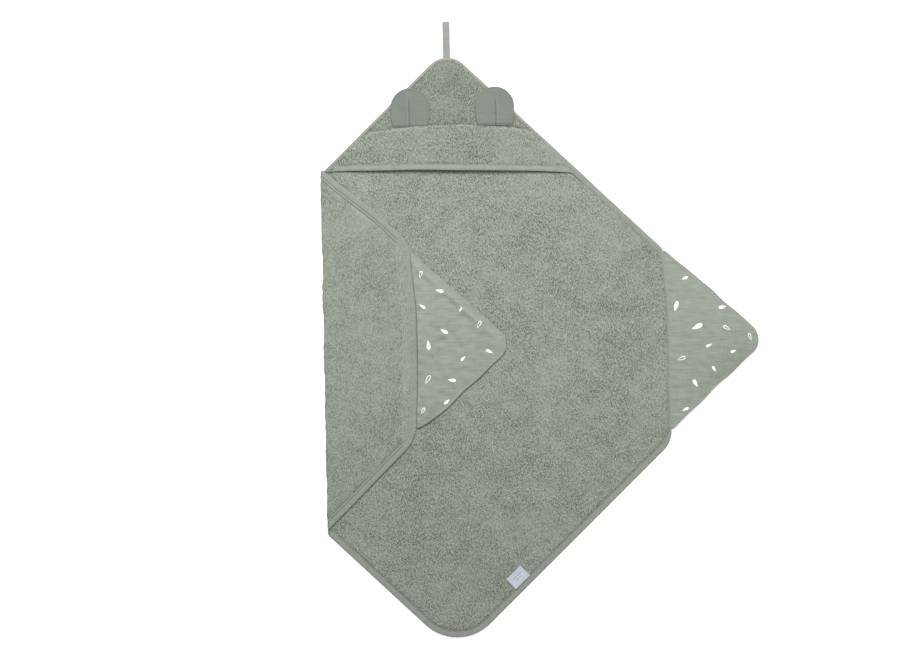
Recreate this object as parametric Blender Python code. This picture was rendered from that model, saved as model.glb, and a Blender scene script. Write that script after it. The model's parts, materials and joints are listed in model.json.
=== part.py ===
"""Hooded baby towel, lying on its back with its left side folded over the front.

Frame, in metres: the origin is the middle of the unfolded towel on its underside, +Y points to the
hood's tip, +X to the right mitt and +Z out of the front. The towel is built unfolded, then its left
wing is turned about the fold.
"""

import math

import bmesh
import bpy
from mathutils import Matrix, Vector

# The cloth's outline
SIDE = 0.750  # side of the square towel
PULL = 1.02  # the square is smoothed out a little wider than tall
TIP_RADIUS = 0.048
BOTTOM_RADIUS = 0.080
CUT_CORNER_RADIUS = 0.015
MITT_DEPTH = 0.168  # the side corners are cut off this far in and replaced by mitts

# Cloth thicknesses and the gaps between layers
TERRY = 0.0036
FLANGE = 0.0009  # terry pressed flat inside the binding
TAPE = 0.0007
MUSLIN = 0.0010
EAR_CLOTH = 0.0009
CLEARANCE = 0.0003
LAYER_GAP = 0.0004
BINDING_WIDTH = 0.010

# Hood
HOOD_DEPTH = 0.208  # from the square's corner to the hood's open lower edge
BROW_WIDTH = 0.075  # from that edge to the brow seam
BROW_SEAM_RADIUS = 0.870  # the brow seam arches up in the middle
HOOD_RISE = 0.008  # how far the hood bows up in the middle of its open edge
RISE_POWER = 1.5  # how fast that bow dies away towards the tip

# Ears
EAR_WIDTH = 0.067
EAR_HEIGHT = 0.068
EAR_SPACING = 0.145
EAR_SHIFT = 0.008  # the pair sits this far right of the middle
EAR_LIFT = 0.0004  # air under an ear

# Mitts
MITT_SHORTFALL = 0.0074  # a mitt's seam is this much shorter at each end than the cut edge
MITT_Y = 0.012  # the mitts sit this far above the towel's middle
MITT_RADIUS = 0.033
MOUTH_RISE = 0.0080  # the left mitt's mouth stands open by this much in the middle
PUFF = 0.0080  # air inside the right mitt

# Hanging loop
LOOP_WIDTH = 0.0125
LOOP_LENGTH = 0.065
LOOP_HEIGHT = 0.008
LOOP_TAPE = 0.001
LOOP_ROOT_HEIGHT = 0.003
LOOP_RAMP = 0.040  # the upper leg climbs over this length
LOOP_SEWN = 0.006  # the legs are sewn together over this length

# Label
LABEL_LENGTH = 0.034
LABEL_WIDTH = 0.024
LABEL_THICKNESS = 0.0008
LABEL_FROM_CORNER = 0.167  # along the lower right edge, from the square's bottom corner

# Worked out from the sizes above
HALF_WIDTH = SIDE / math.sqrt(2) * PULL
HALF_HEIGHT = SIDE / math.sqrt(2) / PULL
EDGE = math.hypot(HALF_WIDTH, HALF_HEIGHT)
CUT_X = HALF_WIDTH - MITT_DEPTH
CUT_Y = HALF_HEIGHT * MITT_DEPTH / HALF_WIDTH
MITT_HALF_SEAM = CUT_Y - MITT_SHORTFALL
MOUTH_Y = HALF_HEIGHT - HOOD_DEPTH
BROW_SEAM_Y = MOUTH_Y + BROW_WIDTH
FOLD_X = -HALF_WIDTH * HOOD_DEPTH / HALF_HEIGHT  # straight down from the end of the hood's edge
SLOT = FLANGE + 2 * CLEARANCE
BINDING_HEIGHT = 2 * TAPE + SLOT
PANEL_INSET = BINDING_WIDTH + CLEARANCE
HOOD_Z = TERRY + LAYER_GAP
HOOD_BINDING_Z = BINDING_HEIGHT + CLEARANCE
HOOD_BINDING_TOP = HOOD_BINDING_Z + BINDING_HEIGHT
FOLD_Z = TERRY + LAYER_GAP / 2
EAR_THICKNESS = 2 * EAR_CLOTH + CLEARANCE
BLUNT = 0.0015  # a domed cloth ends this far short of its rounded point
SHARPEST = 0.0005  # an inset corner keeps at least this radius
OUTSIDE = 0.1  # how far a cutter reaches past the cloth
ARC_STEP = math.radians(8)

parts = bpy.data.collections.new("hooded_baby_towel")
cutters = bpy.data.collections.new("cutters")


def clear_scene():
    for obj in list(bpy.data.objects):
        bpy.data.objects.remove(obj, do_unlink=True)
    bpy.context.scene.collection.children.link(parts)
    bpy.context.scene.collection.children.link(cutters)


def cloth_material(name, color, roughness):
    material = bpy.data.materials.new(name)
    material.use_nodes = True
    shader = material.node_tree.nodes["Principled BSDF"]
    shader.inputs["Base Color"].default_value = (*color, 1.0)
    shader.inputs["Roughness"].default_value = roughness
    shader.inputs["Metallic"].default_value = 0.0
    return material


TERRY_SAGE = cloth_material("terry_sage", (0.29, 0.34, 0.29), 1.0)
MUSLIN_SAGE = cloth_material("muslin_sage", (0.33, 0.38, 0.32), 0.95)
TAPE_SAGE = cloth_material("tape_sage", (0.34, 0.39, 0.34), 0.9)
LABEL_WHITE = cloth_material("label_white", (0.80, 0.83, 0.86), 0.7)


# ---- outlines -----------------------------------------------------------------------------------


def inset_corners(corners, distances):
    """The corners of a polygon whose edges have each moved inwards. Edge i starts at corner i."""
    count = len(corners)
    moved = []
    for i, corner in enumerate(corners):
        before = (corner - corners[i - 1]).normalized()
        after = (corners[(i + 1) % count] - corner).normalized()
        inward_before = Vector((-before.y, before.x))
        inward_after = Vector((-after.y, after.x))
        on_before = corner + inward_before * distances[i - 1]
        on_after = corner + inward_after * distances[i]
        along = (on_after - on_before).dot(inward_after) / before.dot(inward_after)
        moved.append(on_before + before * along)
    return moved


def rounded(corners, radii):
    """The points of a counterclockwise polygon with each corner replaced by an arc."""
    points = []
    count = len(corners)
    for i, (corner, radius) in enumerate(zip(corners, radii)):
        to_before = (corners[i - 1] - corner).normalized()
        to_after = (corners[(i + 1) % count] - corner).normalized()
        half = to_before.angle(to_after) / 2
        centre = corner + (to_before + to_after).normalized() * radius / math.sin(half)
        start = corner + to_before * radius / math.tan(half) - centre
        sweep = math.pi - 2 * half
        steps = max(2, math.ceil(sweep / ARC_STEP))
        for step in range(steps + 1):
            turn = Matrix.Rotation(sweep * step / steps, 2)
            points.append(centre + turn @ start)
    return points


def towel_outline(inset):
    """The whole unfolded towel, without its mitts."""
    corners = [
        Vector((0, -HALF_HEIGHT)),
        Vector((CUT_X, -CUT_Y)),
        Vector((CUT_X, CUT_Y)),
        Vector((0, HALF_HEIGHT)),
        Vector((-CUT_X, CUT_Y)),
        Vector((-CUT_X, -CUT_Y)),
    ]
    side = CUT_CORNER_RADIUS
    radii = [BOTTOM_RADIUS, side, side, TIP_RADIUS, side, side]
    radii = [max(radius - inset, SHARPEST) for radius in radii]
    return rounded(inset_corners(corners, [inset] * len(corners)), radii)


def mitt_outline():
    """The right mitt's flat layer."""
    corners = [
        Vector((CUT_X + CLEARANCE, MITT_Y - MITT_HALF_SEAM)),
        Vector((HALF_WIDTH, MITT_Y)),
        Vector((CUT_X + CLEARANCE, MITT_Y + MITT_HALF_SEAM)),
    ]
    seam_end = 0.002
    return rounded(corners, [seam_end, MITT_RADIUS, seam_end])


def ear_outline():
    """An arch with straight sides, standing on the X axis."""
    radius = EAR_WIDTH / 2
    straight = EAR_HEIGHT - radius
    points = [Vector((-radius, 0)), Vector((radius, 0))]
    steps = math.ceil(math.pi / ARC_STEP)
    for step in range(steps + 1):
        angle = math.pi * step / steps
        points.append(Vector((radius * math.cos(angle), straight + radius * math.sin(angle))))
    return points


# ---- solids -------------------------------------------------------------------------------------


def flat_curve(name, outlines, thickness):
    curve = bpy.data.curves.new(name, "CURVE")
    curve.dimensions = "2D"
    curve.fill_mode = "BOTH"
    curve.extrude = thickness / 2
    for points in outlines:
        spline = curve.splines.new("POLY")
        spline.points.add(len(points) - 1)
        for slot, point in zip(spline.points, points):
            slot.co = (point.x, point.y, 0, 1)
        spline.use_cyclic_u = True
    obj = bpy.data.objects.new(name, curve)
    parts.objects.link(obj)
    return obj


def as_mesh(obj):
    """The same shape as a closed mesh object, in place of the curve."""
    bpy.context.view_layer.update()
    name = obj.name
    graph = bpy.context.evaluated_depsgraph_get()
    mesh = bpy.data.meshes.new_from_object(obj.evaluated_get(graph))
    shape = bmesh.new()
    shape.from_mesh(mesh)
    bmesh.ops.remove_doubles(shape, verts=shape.verts, dist=1e-6)
    bmesh.ops.recalc_face_normals(shape, faces=shape.faces)
    shape.to_mesh(mesh)
    shape.free()
    solid = bpy.data.objects.new(name, mesh)
    solid.matrix_world = obj.matrix_world.copy()
    bpy.data.objects.remove(obj, do_unlink=True)
    solid.name = name
    parts.objects.link(solid)
    return solid


def slab(name, points, low, high):
    """A flat solid with this outline between two heights."""
    obj = flat_curve(name, [points], high - low)
    obj.location.z = (low + high) / 2
    return as_mesh(obj)


def box(name, low, high):
    mesh = bpy.data.meshes.new(name)
    shape = bmesh.new()
    bmesh.ops.create_cube(shape, size=1.0)
    size = Vector(high) - Vector(low)
    bmesh.ops.scale(shape, vec=size, verts=shape.verts)
    bmesh.ops.translate(shape, vec=(Vector(high) + Vector(low)) / 2, verts=shape.verts)
    shape.to_mesh(mesh)
    shape.free()
    obj = bpy.data.objects.new(name, mesh)
    parts.objects.link(obj)
    return obj


def combine(obj, other, operation):
    """Adds a Boolean to obj and puts the other shape away among the cutters."""
    modifier = obj.modifiers.new(other.name, "BOOLEAN")
    modifier.operation = operation
    modifier.solver = "EXACT"
    modifier.object = other
    parts.objects.unlink(other)
    cutters.objects.link(other)
    other.hide_render = True
    other.display_type = "WIRE"


def domed_sheet(name, columns, rows, place, thickness):
    """A grid laid out by place(across, along), with across in -1..1 and along in 0..1, made as thick
    as the cloth straight upwards, so that its edges stay upright beside their neighbours."""
    mesh = bpy.data.meshes.new(name)
    shape = bmesh.new()
    bmesh.ops.create_grid(shape, x_segments=columns, y_segments=rows, size=1.0)
    for vert in shape.verts:
        vert.co = place(vert.co.x, (vert.co.y + 1) / 2)
    top = bmesh.ops.extrude_face_region(shape, geom=shape.faces[:])
    raised = [item for item in top["geom"] if isinstance(item, bmesh.types.BMVert)]
    bmesh.ops.translate(shape, vec=(0, 0, thickness), verts=raised)
    bmesh.ops.recalc_face_normals(shape, faces=shape.faces)
    shape.to_mesh(mesh)
    shape.free()
    obj = bpy.data.objects.new(name, mesh)
    parts.objects.link(obj)
    return obj


def finish(obj, material):
    if obj.data.materials:
        obj.data.materials[0] = material
    else:
        obj.data.materials.append(material)
    return obj


def hinge(name, position):
    empty = bpy.data.objects.new(name, None)
    empty.empty_display_size = 0.02
    empty.location = position
    parts.objects.link(empty)
    return empty


def hang(child, parent):
    """Parents child without moving it."""
    bpy.context.view_layer.update()
    child.parent = parent
    child.matrix_parent_inverse = parent.matrix_world.inverted()
    if child.type == "MESH":
        for modifier in child.modifiers:
            if modifier.type == "BOOLEAN":
                hang(modifier.object, parent)


# ---- the towel's terry and its binding ----------------------------------------------------------


def terry_panel(name, low, high):
    """The piece of the terry square that lies inside a box, with its pressed edge."""
    panel = slab(name, towel_outline(PANEL_INSET), 0, TERRY)
    start = TAPE + CLEARANCE
    flange = slab(name + "_pressed_edge", towel_outline(start), start, start + FLANGE)
    combine(panel, flange, "UNION")
    combine(panel, box(name + "_stretch", low, high), "INTERSECT")
    return finish(panel, TERRY_SAGE)


def edge_binding(name, base, low, high):
    """A tape folded round the towel's edge, for the stretch of it that lies inside a box."""
    tape = slab(name, towel_outline(0), base, base + BINDING_HEIGHT)
    inside = slab(name + "_inner_edge", towel_outline(BINDING_WIDTH), base - TAPE, base + 2 * BINDING_HEIGHT)
    slot = slab(name + "_fold", towel_outline(TAPE), base + TAPE, base + TAPE + SLOT)
    combine(tape, inside, "DIFFERENCE")
    combine(tape, slot, "DIFFERENCE")
    combine(tape, box(name + "_stretch", low, high), "INTERSECT")
    return finish(tape, TAPE_SAGE)


def towel_body():
    low = (FOLD_X + CLEARANCE, -SIDE, -OUTSIDE)
    high = (SIDE, SIDE, OUTSIDE)
    terry_panel("body_panel", low, high)
    edge_binding("body_binding", 0, low, high)


def left_wing(fold):
    low = (-SIDE, -SIDE, -OUTSIDE)
    high = (FOLD_X - CLEARANCE, SIDE, OUTSIDE)
    hang(terry_panel("left_wing_panel", low, high), fold)
    hang(edge_binding("left_wing_binding", 0, low, high), fold)


# ---- hood ---------------------------------------------------------------------------------------


def hood_half_width(y):
    """Half the width of the hood's terry between its slanted bindings."""
    radius = TIP_RADIUS - PANEL_INSET
    half_angle = math.atan2(HALF_WIDTH, HALF_HEIGHT)
    centre = HALF_HEIGHT - TIP_RADIUS / math.sin(half_angle)
    if y > centre + radius * math.sin(half_angle):
        return math.sqrt(max(radius**2 - (y - centre) ** 2, 0))
    return (HALF_HEIGHT - y) * HALF_WIDTH / HALF_HEIGHT - PANEL_INSET * EDGE / HALF_HEIGHT


def tip_y(inset):
    """Where the rounded tip ends, this far inside the outline."""
    half_angle = math.atan2(HALF_WIDTH, HALF_HEIGHT)
    return HALF_HEIGHT - TIP_RADIUS / math.sin(half_angle) + TIP_RADIUS - inset


def hood_lift(x, y):
    """How far the hood bows up off its flat rest."""
    across = 1 - min(1, abs(x) / hood_half_width(y)) ** 2
    along = (HALF_HEIGHT - y) / (HALF_HEIGHT - MOUTH_Y)
    return HOOD_RISE * across * along**RISE_POWER


def brow_seam_drop(x):
    return x**2 / (2 * BROW_SEAM_RADIUS)


def hood_sheet(name, rows, low_y, low_arched, high_y, high_arched):
    """A strip of the hood from slanted edge to slanted edge, its ends straight or along the arch."""

    def place(across, along):
        level = low_y + (high_y - low_y) * along
        arched = low_arched + (high_arched - low_arched) * along
        y = level
        for _ in range(4):
            x = across * hood_half_width(y)
            y = level - arched * brow_seam_drop(x)
        return (x, y, HOOD_Z + hood_lift(x, y))

    sheet = domed_sheet(name, 24, rows, place, TERRY)
    return finish(sheet, TERRY_SAGE)


def mouth_binding():
    """The tape round the hood's open edge, swept along the bow of that edge."""
    half_tape = BINDING_WIDTH / 2
    half_tall = BINDING_HEIGHT / 2
    inner = half_tall - TAPE
    outline = [
        Vector((-half_tape, -half_tall)),
        Vector((half_tape, -half_tall)),
        Vector((half_tape, -inner)),
        Vector((-half_tape + TAPE, -inner)),
        Vector((-half_tape + TAPE, inner)),
        Vector((half_tape, inner)),
        Vector((half_tape, half_tall)),
        Vector((-half_tape, half_tall)),
    ]
    profile = flat_curve("mouth_binding_section", [outline], 0)
    profile.data.extrude = 0
    profile.data.fill_mode = "NONE"
    parts.objects.unlink(profile)
    cutters.objects.link(profile)
    profile.hide_render = True
    path = bpy.data.curves.new("hood_mouth_binding", "CURVE")
    path.dimensions = "3D"
    path.twist_mode = "Z_UP"
    path.bevel_mode = "OBJECT"
    path.bevel_object = profile
    path.use_fill_caps = True
    steps = 24
    reach = hood_half_width(MOUTH_Y + PANEL_INSET)
    spline = path.splines.new("POLY")
    spline.points.add(steps)
    middle_y = MOUTH_Y + half_tape
    for step, slot in enumerate(spline.points):
        x = reach * (1 - 2 * step / steps)
        slot.co = (x, middle_y, HOOD_Z + TERRY / 2 + hood_lift(x, middle_y), 1)
    obj = bpy.data.objects.new("hood_mouth_binding", path)
    parts.objects.link(obj)
    return finish(as_mesh(obj), TAPE_SAGE)


def hood(opening):
    crown = hood_sheet("hood_crown", 14, BROW_SEAM_Y, 1, tip_y(PANEL_INSET) - BLUNT, 0)
    brow = hood_sheet("hood_brow", 8, MOUTH_Y + PANEL_INSET, 0, BROW_SEAM_Y - CLEARANCE, 1)
    low = (-SIDE, MOUTH_Y, -OUTSIDE)
    high = (SIDE, SIDE, OUTSIDE)
    side = edge_binding("hood_side_binding", HOOD_BINDING_Z, low, high)
    for piece in (crown, brow, side, mouth_binding()):
        hang(piece, opening)


def ear(side, centre_x, opening):
    """Two layers of cloth lying back from the brow seam on the crown."""
    inner_x = abs(centre_x) - EAR_WIDTH / 2
    root_y = BROW_SEAM_Y + CLEARANCE
    top_y = root_y + EAR_HEIGHT
    fall = hood_lift(inner_x, root_y) - hood_lift(inner_x, top_y)
    bottom = HOOD_Z + TERRY + hood_lift(inner_x, root_y) + EAR_LIFT
    flip = hinge(side + "_ear_flip", (centre_x, root_y, bottom + EAR_THICKNESS))
    flip.rotation_euler.x = -math.atan2(fall, EAR_HEIGHT)
    hang(flip, opening)
    heights = {"front": -EAR_CLOTH / 2, "back": -EAR_THICKNESS + EAR_CLOTH / 2}
    for layer, z in heights.items():
        cloth = flat_curve(f"{side}_ear_{layer}", [ear_outline()], EAR_CLOTH)
        cloth.parent = flip
        cloth.location.z = z
        finish(cloth, MUSLIN_SAGE)


# ---- mitts --------------------------------------------------------------------------------------


def mitt_tip_x():
    half_angle = math.atan2(MITT_HALF_SEAM, HALF_WIDTH - CUT_X - CLEARANCE)
    return HALF_WIDTH - MITT_RADIUS / math.sin(half_angle) + MITT_RADIUS


def mitt_half_width(x):
    length = HALF_WIDTH - CUT_X - CLEARANCE
    half_angle = math.atan2(MITT_HALF_SEAM, length)
    centre = mitt_tip_x() - MITT_RADIUS
    if x > centre + MITT_RADIUS * math.sin(half_angle):
        return math.sqrt(max(MITT_RADIUS**2 - (x - centre) ** 2, 0))
    return MITT_HALF_SEAM * (HALF_WIDTH - x) / length


def puffed_layer(name, side, low, bow, profile):
    """A mitt layer that bows away from the other one, up or down. side is 1 for the right mitt and
    -1 for the left, and low is its underside where it lies flat."""
    start = CUT_X + CLEARANCE
    end = mitt_tip_x() - BLUNT

    def place(across, along):
        x = start + (end - start) * along
        y = MITT_Y + across * mitt_half_width(x)
        return (side * x, y, low + bow * (1 - across**2) * profile(along))

    return finish(domed_sheet(name, 16, 14, place, MUSLIN), MUSLIN_SAGE)


def flat_layer(name, side, low):
    points = mitt_outline()
    if side < 0:
        points = [Vector((-point.x, point.y)) for point in reversed(points)]
    return finish(slab(name, points, low, low + MUSLIN), MUSLIN_SAGE)


def closed_at_both_ends(along):
    return math.sin(math.pi * along)


def open_at_the_seam(along):
    return (1 - along) ** 1.2


def right_mitt(fold, mouth):
    front = puffed_layer("right_mitt_front", 1, MUSLIN + CLEARANCE, PUFF, closed_at_both_ends)
    hang(front, fold)
    hang(mouth, fold)
    hang(flat_layer("right_mitt_back", 1, 0), mouth)


def left_mitt(fold, mouth):
    front_low = BINDING_HEIGHT - MUSLIN
    back_low = front_low - CLEARANCE - MUSLIN
    back = puffed_layer("left_mitt_back", -1, back_low, -MOUTH_RISE, open_at_the_seam)
    hang(flat_layer("left_mitt_front", -1, front_low), fold)
    hang(mouth, fold)
    hang(back, mouth)


# ---- loop and label -----------------------------------------------------------------------------


def hanging_loop(swing):
    """A tape folded double, its legs apart, seen from the side and as deep as the tape is wide."""

    def side_view(inset):
        start = LOOP_SEWN if inset else 0
        rise = (LOOP_HEIGHT - LOOP_ROOT_HEIGHT) / LOOP_RAMP
        radius = LOOP_HEIGHT / 2 - inset
        centre = LOOP_LENGTH - LOOP_HEIGHT / 2
        points = [Vector((start, inset))]
        steps = math.ceil(math.pi / ARC_STEP)
        for step in range(steps + 1):
            angle = math.pi * (step / steps - 0.5)
            points.append(Vector((centre + radius * math.cos(angle), LOOP_HEIGHT / 2 + radius * math.sin(angle))))
        points.append(Vector((LOOP_RAMP, LOOP_HEIGHT - inset)))
        points.append(Vector((start, LOOP_ROOT_HEIGHT + rise * start - inset)))
        return points

    loop = flat_curve("hanging_loop", [side_view(0), side_view(LOOP_TAPE)], LOOP_WIDTH)
    loop.matrix_world = (
        Matrix.Translation((0, tip_y(0) + CLEARANCE, 0))
        @ Matrix.Rotation(math.pi / 2, 4, "Z")
        @ Matrix.Rotation(math.pi / 2, 4, "X")
    )
    hang(finish(loop, TAPE_SAGE), swing)


def side_label(flip):
    half = LABEL_LENGTH / 2
    corners = [
        Vector((-half, 0)),
        Vector((half, 0)),
        Vector((half, LABEL_WIDTH)),
        Vector((-half, LABEL_WIDTH)),
    ]
    label = flat_curve("side_label", [corners], LABEL_THICKNESS)
    label.parent = flip
    label.location.z = -LABEL_THICKNESS / 2
    finish(label, LABEL_WHITE)


def label_hinge():
    """On the lower right edge, with local X along the edge and local Y pointing into the towel."""
    along = Vector((HALF_WIDTH, HALF_HEIGHT)) / EDGE
    inward = Vector((-along.y, along.x))
    spot = Vector((0, -HALF_HEIGHT)) + along * LABEL_FROM_CORNER + inward * PANEL_INSET
    flip = hinge("label_flip", (spot.x, spot.y, TERRY + LAYER_GAP + LABEL_THICKNESS))
    flip.rotation_euler.z = math.atan2(along.y, along.x)
    return flip


# ---- assembly -----------------------------------------------------------------------------------


def build():
    clear_scene()
    towel_body()

    wing_fold = hinge("left_wing_fold", (FOLD_X, 0, FOLD_Z))
    left_wing(wing_fold)
    mouth_top = BINDING_HEIGHT - MUSLIN - CLEARANCE - MOUTH_RISE - MUSLIN
    mitt_fold = hinge("left_mitt_fold", (-CUT_X - CLEARANCE / 2, 0, (mouth_top - LAYER_GAP) / 2))
    mouth = hinge("left_mitt_mouth", (-mitt_tip_x(), MITT_Y, BINDING_HEIGHT - MUSLIN - CLEARANCE))
    left_mitt(mitt_fold, mouth)
    hang(mitt_fold, wing_fold)
    wing_fold.rotation_euler.y = math.pi

    puff_top = 2 * MUSLIN + CLEARANCE + PUFF
    mitt_fold = hinge("right_mitt_fold", (CUT_X + CLEARANCE / 2, 0, (puff_top + TERRY + LAYER_GAP) / 2))
    mouth = hinge("right_mitt_mouth", (mitt_tip_x(), MITT_Y, MUSLIN))
    right_mitt(mitt_fold, mouth)

    opening = hinge("hood_open", (0, tip_y(0), HOOD_BINDING_TOP))
    hood(opening)
    ear("left", EAR_SHIFT - EAR_SPACING / 2, opening)
    ear("right", EAR_SHIFT + EAR_SPACING / 2, opening)

    hanging_loop(hinge("loop_swing", (0, tip_y(0) + CLEARANCE, HOOD_BINDING_TOP)))
    side_label(label_hinge())


build()
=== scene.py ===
"""Looks of the hooded baby towel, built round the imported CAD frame.

Every cloth is laid out flat as it was cut, given its thickness, and then placed where it lies. The terry
and its binding are each one piece across the fold, so they bend there when the wing opens.
"""

import json
import math

import bpy
import numpy as np
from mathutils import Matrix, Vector
from mathutils.geometry import delaunay_2d_cdt


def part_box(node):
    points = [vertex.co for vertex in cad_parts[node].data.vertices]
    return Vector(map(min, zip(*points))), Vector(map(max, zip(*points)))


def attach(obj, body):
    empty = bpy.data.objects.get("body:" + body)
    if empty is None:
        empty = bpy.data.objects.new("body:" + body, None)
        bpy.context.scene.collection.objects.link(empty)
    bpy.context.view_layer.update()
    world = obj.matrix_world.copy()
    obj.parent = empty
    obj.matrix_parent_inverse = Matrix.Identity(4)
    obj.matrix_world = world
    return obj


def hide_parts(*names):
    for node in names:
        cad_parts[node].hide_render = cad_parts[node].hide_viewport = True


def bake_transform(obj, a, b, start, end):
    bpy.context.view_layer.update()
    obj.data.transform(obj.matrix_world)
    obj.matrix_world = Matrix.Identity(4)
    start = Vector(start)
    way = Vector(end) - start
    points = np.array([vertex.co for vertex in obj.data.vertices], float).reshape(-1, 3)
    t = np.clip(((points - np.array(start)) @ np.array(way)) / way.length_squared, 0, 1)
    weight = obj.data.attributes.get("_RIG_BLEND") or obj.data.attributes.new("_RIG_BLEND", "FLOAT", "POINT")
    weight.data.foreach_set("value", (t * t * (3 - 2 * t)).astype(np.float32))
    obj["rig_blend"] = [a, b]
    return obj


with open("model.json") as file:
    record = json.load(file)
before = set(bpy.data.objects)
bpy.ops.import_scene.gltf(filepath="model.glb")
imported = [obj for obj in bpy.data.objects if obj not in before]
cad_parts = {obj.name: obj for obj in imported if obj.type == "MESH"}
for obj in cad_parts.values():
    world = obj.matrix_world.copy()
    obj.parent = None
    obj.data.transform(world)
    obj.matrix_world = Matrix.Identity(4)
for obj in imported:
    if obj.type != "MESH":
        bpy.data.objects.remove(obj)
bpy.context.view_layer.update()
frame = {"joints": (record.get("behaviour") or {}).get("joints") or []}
joints = {joint["name"]: joint for joint in frame["joints"]}


def hinge(name):
    return np.array(joints[name]["pos_m"], float)


# ---- sizes, in metres ----

# The same as in the CAD
SIDE = 0.750
PULL = 1.02
BOTTOM_RADIUS = 0.080
MITT_DEPTH = 0.168
MITT_SHORTFALL = 0.0074  # a mitt's seam is this much shorter at each end than the cut edge
MITT_Y = 0.012
MITT_RADIUS = 0.033
MITT_POINT_X = 0.5252  # where the right mitt's rounded point ends
PUFF = 0.008
TERRY = 0.0036
MUSLIN = 0.0010
BINDING_HEIGHT = 0.0029
HOOD_DEPTH = 0.208
HOOD_Z = 0.0040
HOOD_BINDING_Z = 0.0032
BROW_WIDTH = 0.075
BROW_SEAM_RADIUS = 0.870
EAR_WIDTH = 0.067
LOOP_TAPE = 0.0010
LABEL_LENGTH = 0.034
LABEL_WIDTH = 0.024
FOLD_X, _, FOLD_Z = hinge("left_wing_fold")

# Closer to the real cloth than the CAD's plain solids
TIP_RADIUS = 0.041
CUT_RADIUS = 0.045  # the pressed cloth rounds off more than the CAD's corner
BINDING_WIDTH = 0.0105
BACK_WIDTH = 1.31  # the tape reaches further in on the back, by this share
RIGHT_CUT_BINDING_WIDTH = 0.0048  # the mitt is sewn over most of it
TERRY_INSET = 0.0035  # the towel's terry ends this far inside its outline, within the binding
HOOD_INSET = 0.004  # and the hood's terry this far
HOOD_RISE = 0.006
BROW_OVERHANG = 0.0022  # the brow's pile bulges this far over the seam
CROWN_GAP = 0.0002  # the crown ends this far above the seam
MOUTH_REACH = 0.21  # half the length of the hood's open edge
EAR_HEIGHT = 0.0655
EAR_CREASE = 0.0015  # an ear's crease lies this far outside its middle
EAR_PLACE = 0.4  # keeps each ear's weave away from the other's
ROLL = 0.012  # cloth taken up by the roll of the fold, only there while the wing is folded
WING_SLIP = 0.016  # the wing was pulled up a little as it was folded
FACING = 0.026  # the mitt's cloth reaches this far over the towel's back
HEM = 0.0086  # hem at a mitt's mouth

# Worked out from the sizes above
HALF_WIDTH = SIDE / math.sqrt(2) * PULL
HALF_HEIGHT = SIDE / math.sqrt(2) / PULL
EDGE = math.hypot(HALF_WIDTH, HALF_HEIGHT)
CUT_X = HALF_WIDTH - MITT_DEPTH
CUT_Y = HALF_HEIGHT * MITT_DEPTH / HALF_WIDTH
MOUTH_Y = HALF_HEIGHT - HOOD_DEPTH
BROW_SEAM_Y = MOUTH_Y + BROW_WIDTH
MITT_HALF_SEAM = CUT_Y - MITT_SHORTFALL
MITT_SHIFT = 2 * FOLD_X  # the folded left mitt lies this far left of the right one


# ---- small maths ----


def smooth(value):
    """0 up to 0 and 1 from 1 on, with a soft step between."""
    t = np.clip(value, 0, 1)
    return t * t * (3 - 2 * t)


def bell(value, width):
    """1 where the value is 0, falling off softly on both sides."""
    return np.exp(-((value / width) ** 2))


def ripples(x, y, wavelength, seed, count=7):
    """A soft uneven field from about -1 to 1, the same for the same seed."""
    total = np.zeros(np.broadcast(x, y).shape)
    for k in range(count):
        angle = seed * 1.7 + 2.399963 * k
        length = wavelength * (0.7 + 0.6 * ((0.618 * k + 0.37 * seed) % 1))
        phase = 1.9 * seed + 2.1 * k * k
        total += np.sin(2 * math.pi * (x * math.cos(angle) + y * math.sin(angle)) / length + phase)
    return total / math.sqrt(count) / 1.2


def waves(along, wavelength, seed):
    """The same unevenness along a line."""
    return ripples(along, 0 * along, wavelength, seed)


def in_chunks(function, points, size=3000):
    return np.concatenate([function(points[i : i + size]) for i in range(0, len(points), size)])


def inside(points, loop):
    """Which points lie inside a closed loop."""
    ax, ay = loop.T
    bx, by = np.roll(loop, -1, axis=0).T
    rise = np.where(by == ay, 1e-12, by - ay)

    def test(some):
        x, y = some[:, :1], some[:, 1:2]
        crosses = (ay > y) != (by > y)
        return np.sum(crosses & (x < ax + (y - ay) * (bx - ax) / rise), axis=1) % 2 == 1

    return in_chunks(test, points)


def in_any(points, loops):
    """Which points lie inside one of the loops."""
    found = np.zeros(len(points), bool)
    for loop in loops:
        found |= inside(points, loop)
    return found


def distance(points, line, closed=True):
    """How far each point is from a line of straight steps."""
    a = line if closed else line[:-1]
    b = np.roll(line, -1, axis=0) if closed else line[1:]
    step = b - a
    size = np.maximum((step**2).sum(1), 1e-18)

    def nearest(some):
        t = np.clip(((some[:, None] - a) * step).sum(2) / size, 0, 1)
        return np.sqrt(((some[:, None] - a - t[..., None] * step) ** 2).sum(2).min(1))

    return in_chunks(nearest, points, 600)


def length_along(line):
    """How far along a line each of its points is."""
    return np.concatenate([[0], np.cumsum(np.linalg.norm(np.diff(line, axis=0), axis=1))])


def even(points, spacing, closed=False):
    """The same line with points at an even spacing."""
    line = np.vstack([points, points[:1]]) if closed else np.asarray(points, float)
    along = length_along(line)
    count = max(2, round(along[-1] / spacing))
    at = np.linspace(0, along[-1], count + 1)
    if closed:
        at = at[:-1]
    return np.stack([np.interp(at, along, line[:, i]) for i in range(line.shape[1])], 1)


def normals_of(line, closed=True):
    """The direction to the left of a line at each of its points: inwards on a counterclockwise loop."""
    if closed:
        step = np.roll(line, -1, axis=0) - np.roll(line, 1, axis=0)
    else:
        step = np.gradient(line, axis=0)
    step /= np.linalg.norm(step, axis=1)[:, None]
    return np.stack([-step[:, 1], step[:, 0]], 1)


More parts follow.
